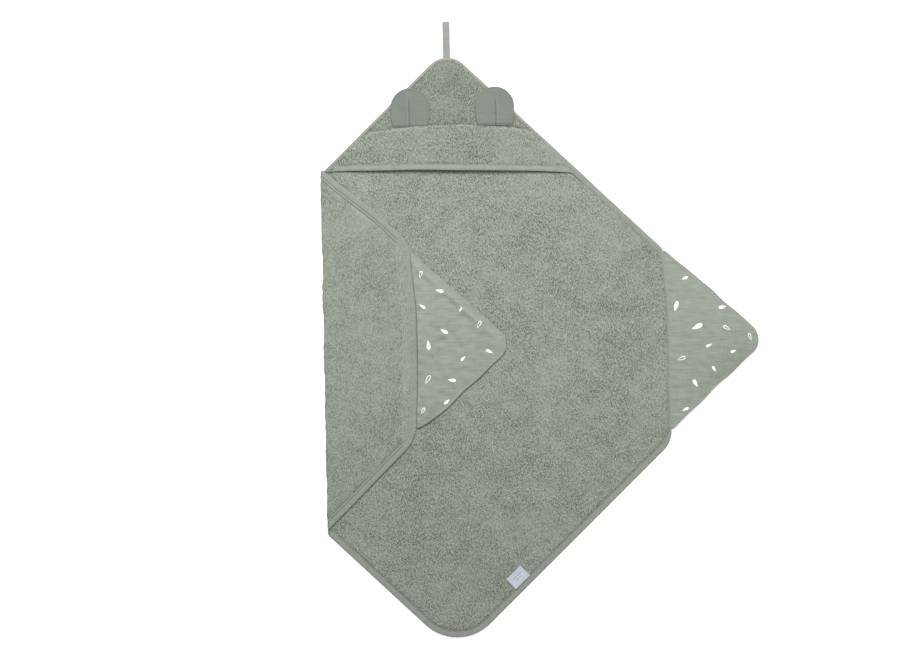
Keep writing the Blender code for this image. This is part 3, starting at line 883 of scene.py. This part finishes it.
def hood_sheet(name, loop, node, material, seed):
    flat, faces = triangulate(loop, 0.004, (0.0015, 0.003, 0.005, 0.0075), seed=seed)
    x, y = flat.T
    from_side = np.minimum(from_edge(x, np.minimum(y, TIP_Y)), distance(flat, flat_outline))
    from_mouth = y - MOUTH_Y - mouth_droop(x)
    from_tape = np.minimum(from_side, from_mouth) - BINDING_WIDTH
    pressed = 1 - smooth((from_tape + 0.0022) / 0.0045)
    full = 1 - pressed
    lift = hood_lift(x, y)
    top, bottom = terry_layers(flat, pressed, 0, TERRY, 0.0007, 0.0022, seed * 0.7)
    from_seam = np.abs(y - seam_y(x))
    if node == "hood_brow":
        below = seam_y(x) + BROW_OVERHANG - y
        top = top + 0.0017 * bell(np.maximum(below - 0.004, 0), 0.010) * full
        top = top - 0.0018 * np.maximum(1 - below / 0.0045, 0) ** 2 * full
        bottom = bottom + 0.0016 * smooth(1 - below / 0.004) * full
    else:
        top = top - 0.0026 * np.maximum(1 - from_seam / 0.0060, 0) ** 1.5 * full
    top = top + 0.0005 * ripples(x, y, 0.012, 41 + seed) * bell(from_seam, 0.009) * full
    soft_fold = 0.0011 * ripples(x, y, 0.16, 43 + seed) * full * smooth(lift / 0.004)
    level = HOOD_Z + lift + soft_fold
    cloth = Cloth(name)
    places = with_height(flat, 0.2 + 0.1 * seed)
    cloth.add_laid(flat, level + top, level + bottom, faces, places, weights=hood_weight(x, y))
    return cloth.build([material], 60, "terry", [node], HOOD_BODIES)


def mirrored(points):
    return (points * [-1, 1])[::-1]


def seam_end(above):
    """X of the right end of a line that runs this far above the brow seam."""
    x = 0.145
    for _ in range(6):
        x = float(half_width(seam_y(x) + above, HOOD_INSET))
    return x


def crown_loop():
    end_x = seam_end(CROWN_GAP)
    side = hood_side(HOOD_INSET, seam_y(end_x) + CROWN_GAP, HALF_HEIGHT)
    xs = np.linspace(-end_x, end_x, 80)[1:-1]
    return np.vstack([side, mirrored(side)[1:], np.column_stack([xs, seam_y(xs) + CROWN_GAP])])


def brow_loop():
    end_x = seam_end(BROW_OVERHANG)
    high = seam_y(end_x) + BROW_OVERHANG
    low = MOUTH_Y + 0.004
    right = hood_side(HOOD_INSET, low + float(mouth_droop(MOUTH_REACH)), high)
    left = mirrored(hood_side(HOOD_INSET, low, high))
    xs = np.linspace(end_x, -end_x, 80)[1:-1]
    arch = np.column_stack([xs, seam_y(xs) + BROW_OVERHANG + 0.0005 * waves(xs, 0.016, 45)])
    xs = np.linspace(left[-1, 0], right[0, 0], 110)[1:-1]
    return np.vstack([right, arch, left, np.column_stack([xs, low + mouth_droop(xs)])])


def hood_side_tape():
    """The edge binding over the hood. It meets the towel's own at its right end and is cut at its left."""
    spacing = 0.004
    right = hood_side(0.0, MOUTH_Y - 0.030, HALF_HEIGHT)
    left = mirrored(hood_side(0.0, MOUTH_Y + 0.0012, HALF_HEIGHT))
    line = even(np.vstack([right, left[1:]]), spacing)
    along = np.arange(len(line)) * spacing
    level = smooth(1 - (along[-1] - along) / 0.014)[:, None]
    inward = normals_of(line, False) * (1 - level) + np.array([1.38, 0.0]) * level
    low = np.full(len(line), BINDING_HEIGHT - 0.0008)
    high = BINDING_HEIGHT - 0.0001 + (HOOD_BINDING_Z + 0.0001) * smooth((along - 0.004) / 0.030)
    outset = 0.0003
    cloth = Cloth("hood_side_binding_tape")
    tape_on(cloth, line - inward * outset, inward, BINDING_WIDTH + outset, low, high, False, 3, (1,))
    cloth.lay()
    return cloth.build(TAPE_AND_THREAD, 70, "binding_tape", ["hood_side_binding"], HOOD_BODIES)


def hood_mouth_tape():
    """The binding of the hood's open edge, thinner at its ends, where it goes under the side tapes."""
    inset = 0.0035
    left_end = -float(half_width(MOUTH_Y, inset))
    right_end = float(half_width(MOUTH_Y + mouth_droop(MOUTH_REACH), inset))
    xs = np.linspace(left_end, right_end, 120)
    line = np.column_stack([xs, MOUTH_Y + mouth_droop(xs) + 0.0005 * waves(xs, 0.14, 51)])
    from_end = np.minimum(xs - left_end, right_end - xs)
    width = np.minimum(BINDING_WIDTH, 0.0008 + 0.80 * from_end)
    middle = HOOD_Z + TERRY / 2
    high = middle + BINDING_HEIGHT / 2 - 0.0016 * (1 - smooth((from_end - 0.010) / 0.014))
    cloth = Cloth("hood_mouth_binding_tape")
    tape_on(cloth, line, normals_of(line, False), width, middle - BINDING_HEIGHT / 2, high, False, 4)
    for points in cloth.points:
        points[:, 2] += hood_lift(points[:, 0], points[:, 1])
    cloth.weights = [hood_weight(points[:, 0], points[:, 1]) for points in cloth.points]
    cloth.lay()
    return cloth.build(TAPE_AND_THREAD, 70, "binding_tape", ["hood_mouth_binding"], HOOD_BODIES)


# ---- ears ----


def ear(side):
    """Two layers of muslin, turned out so that the rim is rolled, sewn flat and ironed with a crease."""
    root = hinge(side + "_ear_flip")
    radius = EAR_WIDTH / 2
    straight = EAR_HEIGHT - radius
    foot = -0.0012
    half_cloth = 0.00095
    arch = [(radius * math.cos(a), straight + radius * math.sin(a)) for a in np.linspace(0, math.pi, 40)]
    right_side = [(radius * 0.89, foot), (radius * 0.985, straight * 0.45)]
    left_side = [(-x, y) for x, y in reversed(right_side)]
    loop = even(np.array([*right_side, *arch, *left_side]), 0.0018, True)
    flat, faces = triangulate(loop, 0.0022, (0.0004, 0.0009, 0.0016, 0.0026, 0.0036))
    x, y = flat.T
    rim = distance(flat, loop[loop[:, 1] > foot + 0.0005], False)
    half = half_cloth * np.sqrt(np.clip(1 - (1 - np.minimum(rim, 0.0011) / 0.0011) ** 2, 0.02, 1))
    roll = 0.00035 * bell(rim - 0.0016, 0.0011)
    groove = 0.00030 * bell(rim - 0.0036, 0.0008)
    mirror = 1 if side == "right" else -1
    from_crease = x * mirror - EAR_CREASE
    crease = 0.0016 * bell(from_crease - 0.0030, 0.0022) - 0.0020 * bell(from_crease, 0.0015)
    crease = crease * smooth((EAR_HEIGHT * 0.76 - y) / 0.018)
    soft = 0.0005 * ripples(x, y, 0.045, 61 + mirror) * smooth(y / 0.02)
    world = flat + root[:2]
    bed = HOOD_Z + TERRY + hood_lift(*world.T) + 0.0011 * ripples(*world.T, 0.16, 44)
    cup = 0.0012 * smooth((y - 0.02) / 0.05) + 0.0008 * (np.abs(x) / radius) ** 3 * smooth(y / 0.02)
    root_dip = 0.0020 * (1 - smooth((y - foot) / 0.0045))
    centre = bed + 0.0015 + cup + soft + 0.35 * crease - root_dip
    top = centre + half + roll - groove + 0.65 * crease
    cloth = Cloth(side + "_ear")
    cloth.add_laid(world, top, centre - half, faces, with_height(flat + [EAR_PLACE * mirror, 0], 0.0))
    obj = cloth.build([EAR_CLOTH, THREAD], 70, "plain_muslin", [side + "_ear_front", side + "_ear_back"])
    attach(obj, side + "_ear")
    return obj


# ---- mitts ----

# The print, as drops of one shape: along from the seam, across from the middle, which way the tail points in
# degrees, length, and whether the drop is only an outline. Sizes in millimetres.
RIGHT_DROPS = [
    (12, 58, 250, 17, False), (31, 103, 205, 11, False), (91, 56, 10, 14, False),
    (46, 23, 205, 20, False), (97, 20, 330, 14, True), (137, 4, 288, 13, True),
    (66, -9, 25, 11, False), (108, -20, 20, 11, False), (18, -31, 200, 15, True),
    (74, -50, 300, 11, False), (42, -74, 300, 15, False), (24, -118, 205, 12, False),
]
LEFT_DROPS = [
    (14, 116, 245, 12, True), (42, 91, 170, 13, False), (11, 66, 145, 12, False),
    (75, 60, 235, 9, False), (106, 34, 240, 14, True), (46, 24, 150, 14, False),
    (19, 1, 95, 16, False), (123, -12, 335, 12, False), (78, -23, 45, 11, False),
    (17, -58, 240, 16, True), (58, -60, 170, 14, False), (50, -96, 40, 12, False),
    (10, -111, 245, 13, True),
]


def turned_over(drops, shift):
    """The same print as it lies on a mitt's other layer."""
    return [(along + shift, -across, -tail, size, ring) for along, across, tail, size, ring in drops]


def drop_loop(along, across, tail, length, grow=0.0):
    """A drop with its round end opposite its tail."""
    length = length / 1000
    t = np.linspace(0, 2 * np.pi, 26)[:-1]
    lengthwise = 0.5 * np.cos(t) * (length - 2 * grow)
    width = 0.5 * np.sin(t) * np.sin(t / 2) ** 1.3 * (length * 0.40 - 2 * grow) * 1.35
    a = math.radians(tail)
    x = lengthwise * math.cos(a) - width * math.sin(a)
    y = lengthwise * math.sin(a) + width * math.cos(a)
    return np.column_stack([x + (CUT_X + along / 1000), y + (MITT_Y + across / 1000)])


def mitt_loop(start_x, tucked=0.0):
    """A mitt's outline in the right mitt's place, its slanted edges a little uneven."""
    start_half = (HALF_WIDTH - start_x) * (MITT_HALF_SEAM / (HALF_WIDTH - CUT_X))
    corners = [(start_x, MITT_Y - start_half), (HALF_WIDTH, MITT_Y), (start_x, MITT_Y + start_half)]
    loop = even(rounded(corners, [0.003, MITT_RADIUS, 0.003]), 0.003, True)
    x, y = loop.T
    free = smooth((x - start_x - 0.004) / 0.03)
    wave = 0.0012 * ripples(x, y, 0.07, 71) + 0.0010
    top_corner = (y > MITT_Y) * bell(x - start_x, 0.035)
    return loop + normals_of(loop) * (wave * free)[:, None] - [0, 1] * (tucked * top_corner)[:, None]


def leaning(points, shift, start_x):
    """A mitt follows the lean of the cut edge near its seam."""
    x, y = points.T
    share = 1 - smooth((x - shift - start_x) / 0.10)
    if not shift:
        return points + np.stack(right_lean(y, share), 1)
    lean_x, lean_y = cut_lean(y)
    lower_corner = 0.020 * bell(y + 0.165, 0.040)
    return points + np.stack([lean_x * share, (lean_y + lower_corner) * share], 1)


def mitt_layer(side, layer, height, drops, seed):
    """One layer of a mitt. height gives its underside and its top."""
    front, left = layer == "front", side == "left"
    shift = MITT_SHIFT if left else 0
    start_x = CUT_X - 0.0012 if front else CUT_X + 0.0004
    loop = mitt_loop(start_x, 0.0 if left else 0.0045)
    marks = [drop_loop(*drop[:4]) for drop in drops]
    hollow = [drop_loop(*drop[:4], 0.0011) for drop in drops if drop[4]]
    flat, faces = triangulate(loop, 0.0032, (0.0005, 0.0012, 0.0022, 0.0035), marks + hollow, seed=seed)
    x, y = flat.T
    rim = distance(flat, loop[loop[:, 0] > start_x + 0.0015], False)
    placed = flat + [shift, 0]
    if front or left:
        placed = leaning(placed, shift, start_x)
    low, high = height(x, y, rim)
    if front:
        bodies = ("left_wing" if left else "towel_body", side + "_mitt")
        weight = smooth((placed[:, 0] - shift - CUT_X - 0.001) / 0.014)
    else:
        bodies = (side + "_mitt", side + "_mitt_back")
        weight = (1 - mitt_spread(x, y)[0] ** 2) ** 0.7 * smooth((rim - 0.001) / 0.02)
    middle = flat[faces].mean(1)
    ink = (in_any(middle, marks) & ~in_any(middle, hollow)).astype(int)
    cloth = Cloth(f"{side}_mitt_{layer}_cloth")
    printed_above = front != left
    slots = (ink, 0) if printed_above else (0, ink)
    cloth.add_laid(placed, high, low, faces, with_height(flat, 0.05 * seed), *slots, weight)
    return cloth.build([MUSLIN_CLOTH, PRINT], 60, "printed_muslin", [f"{side}_mitt_{layer}"], bodies)


def mitt_spread(x, y):
    """(share across from the middle, share along from the seam)."""
    along = (x - CUT_X) / (MITT_POINT_X - CUT_X)
    half = np.maximum((HALF_WIDTH - x) * MITT_HALF_SEAM / (HALF_WIDTH - CUT_X), 0.012)
    return np.clip(np.abs(y - MITT_Y) / half, 0, 1), np.clip(along, 0, 1)


def rim_roll(rim):
    return 0.0005 * bell(rim - 0.0014, 0.0010)


def seam_puckers(x, y):
    from_seam = x - CUT_X
    shape = ripples(0 * y, y, 0.0125, 81) + 0.5 * ripples(x * 0.3, y, 0.024, 82)
    return 0.0011 * shape * np.exp(-(from_seam / 0.017)) * smooth(from_seam / 0.004)


def soft_folds(x, y, size, seed):
    shape = ripples(x * 1.4, y * 0.45, 0.05, seed) + 0.6 * ripples(x, y, 0.021, seed + 1)
    return size * shape


def right_front(x, y, rim):
    across, along = mitt_spread(x, y)
    inner = smooth(rim / 0.012)
    low = 0.0020 + PUFF * (1 - across**2) * np.sin(np.pi * along) + seam_puckers(x, y) * inner
    low = low + soft_folds(x, y, 0.0008, 83) * inner * smooth((x - CUT_X) / 0.02)
    low = np.maximum(low, 0.0013)
    return low, low + MUSLIN + rim_roll(rim)


def right_back(x, _y, _rim):
    """Flat on whatever the towel lies on, under the front."""
    low = 0.0001 + 0 * x
    hem = 0.0003 * smooth((HEM - (x - CUT_X)) / 0.0006)
    return low, low + MUSLIN + hem - 0.0001


def left_front(x, y, rim):
    """Underneath while the wing is folded."""
    low = 0.0047 - 0.0002 * smooth(rim / 0.01) + soft_folds(x, y, 0.00012, 85)
    return low, low + MUSLIN


def left_back(x, y, rim):
    """On top while the wing is folded, its open mouth standing up a little."""
    across, along = mitt_spread(x, y)
    from_seam = x - CUT_X
    low = 0.0060 + 0.0038 * (1 - across**2) * (1 - along) ** 1.2
    low = low + (soft_folds(x, y, 0.0011, 87) + 0.0008) * smooth(rim / 0.015)
    upper_side = (y > MITT_Y) * smooth((0.14 - from_seam) / 0.04)
    low = low + 0.0022 * bell(rim - 0.014, 0.0040) * upper_side
    low = np.maximum(low, 0.0060)
    hem = 0.0006 * smooth((HEM - from_seam) / 0.0006)
    groove = 0.0004 * bell(from_seam - HEM + 0.0004, 0.0007)
    return low, low + MUSLIN + rim_roll(rim) + hem - groove


# ---- loop and label ----


def strip_along(cloth, path, width, thick):
    """A flat tape that follows a path in the Y and Z directions, its width along X."""
    out = normals_of(path, False)
    across = np.array([-1, -0.9, -0.5, 0, 0.5, 0.9, 1, 0.9, 0.5, 0, -0.5, -0.9])
    level = np.array([0, 0.4, 0.5, 0.46, 0.5, 0.4, 0, -0.4, -0.5, -0.46, -0.5, -0.4])
    around = len(across)
    place_z = np.full(around, 7)
    rings, places = [], []
    for spot, up, half, along in zip(path, out, width / 2, length_along(path)):
        rings.append(np.column_stack([across * half, spot + np.outer(level, up) * thick]))
        places.append(np.column_stack([0 * level + along, across * half + level * 0.004, place_z]))
    cloth.add(np.concatenate(rings), tube_faces(len(path), around, False), 0, np.concatenate(places))


def hanging_loop():
    """One tape folded double, its lower leg along the towel and its upper one sloping down to the tip."""
    low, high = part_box("hanging_loop")
    root, end = low.y + 0.0006, high.y
    bend = (high.z - low.z) * 0.42
    radius = bend - LOOP_TAPE / 2
    centre_y, centre_z = end - bend, low.z + bend + 0.0002
    points = [(root - 0.006, 0.0020), (root + 0.002, 0.0012)]
    points += [(y, centre_z - radius) for y in np.linspace(root + 0.008, centre_y, 12)]
    for angle in np.linspace(-math.pi / 2, math.pi / 2, 11)[1:]:
        points.append((centre_y + radius * math.cos(angle), centre_z + radius * math.sin(angle)))
    for share in np.linspace(0, 1, 16)[1:]:
        drop = (centre_z + radius - 0.0034) * float(smooth(share * 1.02))
        points.append((centre_y + (root - 0.004 - centre_y) * share, centre_z + radius - drop))
    path = even(np.array(points), 0.0016)
    width = (high.x - low.x) * (1 - 0.04 * np.abs(np.sin(np.arange(len(path)) * 0.12)))
    cloth = Cloth("hanging_loop_tape")
    strip_along(cloth, path, width, LOOP_TAPE)
    cloth.lay()
    obj = cloth.build(TAPE_AND_THREAD, 60, "binding_tape", ["hanging_loop"])
    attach(obj, "hanging_loop")
    return obj


def box_loop(low_x, low_y, wide, tall, spacing):
    corners = [(low_x, low_y), (low_x + wide, low_y), (low_x + wide, low_y + tall), (low_x, low_y + tall)]
    return even(np.array(corners), spacing, True)


def label():
    """A blank satin label with two plain lines, sewn down along one side."""
    spot = hinge("label_flip")
    along = np.array(joints["label_flip"]["axis"][:2], float)
    inward = np.array([-along[1], along[0]])
    loop = box_loop(-LABEL_LENGTH / 2, 0, LABEL_LENGTH, LABEL_WIDTH, 0.001)
    marks = [box_loop(-0.010, 0.0145, 0.020, 0.0012, 0.0012), box_loop(-0.007, 0.0100, 0.014, 0.0012, 0.0012)]
    flat, faces = triangulate(loop, 0.0016, (0.0008,), marks)
    x, y = flat.T
    inked = in_any(flat[faces].mean(1), marks).astype(int)
    curl = 0.0007 * smooth((y - 0.014) / 0.01) + 0.0004 * (2 * np.abs(x) / LABEL_LENGTH) ** 3
    hem = 0.00012 * bell(distance(flat, loop) - 0.0016, 0.0007)
    base = spot[2] - 0.0006 + curl + 0.0001 * ripples(x, y, 0.02, 91)
    world = spot[:2] + x[:, None] * along + y[:, None] * inward
    cloth = Cloth("side_label_satin")
    cloth.add_laid(world, base + 0.0004 + hem, base, faces, with_height(flat, 0.0), inked)
    for x_at in np.arange(-LABEL_LENGTH / 2 + 0.002, LABEL_LENGTH / 2 - 0.001, STITCH_SPACING):
        at = spot[:2] + x_at * along + 0.0012 * inward
        add_stitch(cloth, [*at, spot[2] + 0.0001 + float(ground(*at))], inward, 2)
    materials = [label_material(), label_ink_material(), THREAD]
    obj = cloth.build(materials, 50, "label_satin", ["side_label"])
    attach(obj, "side_label")
    return obj


# ---- putting it together ----


def build():
    terry = towel_terry()
    binding = edge_binding()
    crown = hood_sheet("hood_crown_terry", crown_loop(), "hood_crown", CROWN_SHADED_CLOTH, 1)
    brow = hood_sheet("hood_brow_terry", brow_loop(), "hood_brow", BROW_SHADED_CLOTH, 2)
    sides = hood_side_tape()
    mouth = hood_mouth_tape()
    ears = [ear("left"), ear("right")]
    mitts = [
        mitt_layer("right", "front", right_front, RIGHT_DROPS, 1),
        mitt_layer("right", "back", right_back, turned_over(LEFT_DROPS, 6), 2),
        mitt_layer("left", "front", left_front, turned_over(RIGHT_DROPS, 4), 3),
        mitt_layer("left", "back", left_back, LEFT_DROPS, 4),
    ]
    loop = hanging_loop()
    tag = label()

    brow_area = polygon_area(brow_loop())
    mitt_area = polygon_area(mitt_loop(CUT_X))


build()


# ---- floor, light and camera ----


def floor():
    mesh = bpy.data.meshes.new("floor")
    half = 6.0
    corners = [(-half, -half, 0), (half, -half, 0), (half, half, 0), (-half, half, 0)]
    mesh.from_pydata(corners, [], [(0, 1, 2, 3)])
    obj = bpy.data.objects.new("floor", mesh)
    obj.location.z = -0.0004
    bpy.context.scene.collection.objects.link(obj)
    material, _ = new_material(
        "pale_floor",
        Base_Color=(0.90, 0.90, 0.90, 1),
        Roughness=1.0,
        Specular_IOR_Level=0.0,
        Emission_Color=(1, 1, 1, 1),
        Emission_Strength=0.40,
    )
    mesh.materials.append(material)


def light(name, position, size, power):
    data = bpy.data.lights.new(name, "AREA")
    data.shape = "DISK"
    data.size = size
    data.energy = power
    obj = bpy.data.objects.new(name, data)
    obj.location = position
    obj.rotation_euler = (-Vector(position)).to_track_quat("-Z", "Y").to_euler()
    bpy.context.scene.collection.objects.link(obj)


def studio():
    world = bpy.data.worlds.new("studio")
    world.use_nodes = True
    background = world.node_tree.nodes["Background"]
    background.inputs["Color"].default_value = (1, 1, 1, 1)
    background.inputs["Strength"].default_value = 0.38
    bpy.context.scene.world = world
    light("key", (0.0, 1.6, 2.1), 1.4, 92)
    light("fill", (1.2, -0.6, 3.0), 2.5, 16)
    bpy.context.scene.view_settings.view_transform = "Standard"


def camera():
    """Straight above, a little off level, as the picture was taken."""
    data = bpy.data.cameras.new("camera")
    data.lens = 100
    data.sensor_width = 36
    view_width = 1.543
    obj = bpy.data.objects.new("camera", data)
    obj.location = (-0.0035, 0.0378, view_width * data.lens / data.sensor_width)
    obj.rotation_euler = (0, 0, math.radians(-1.15))
    bpy.context.scene.collection.objects.link(obj)
    bpy.context.scene.camera = obj


floor()
studio()
camera()
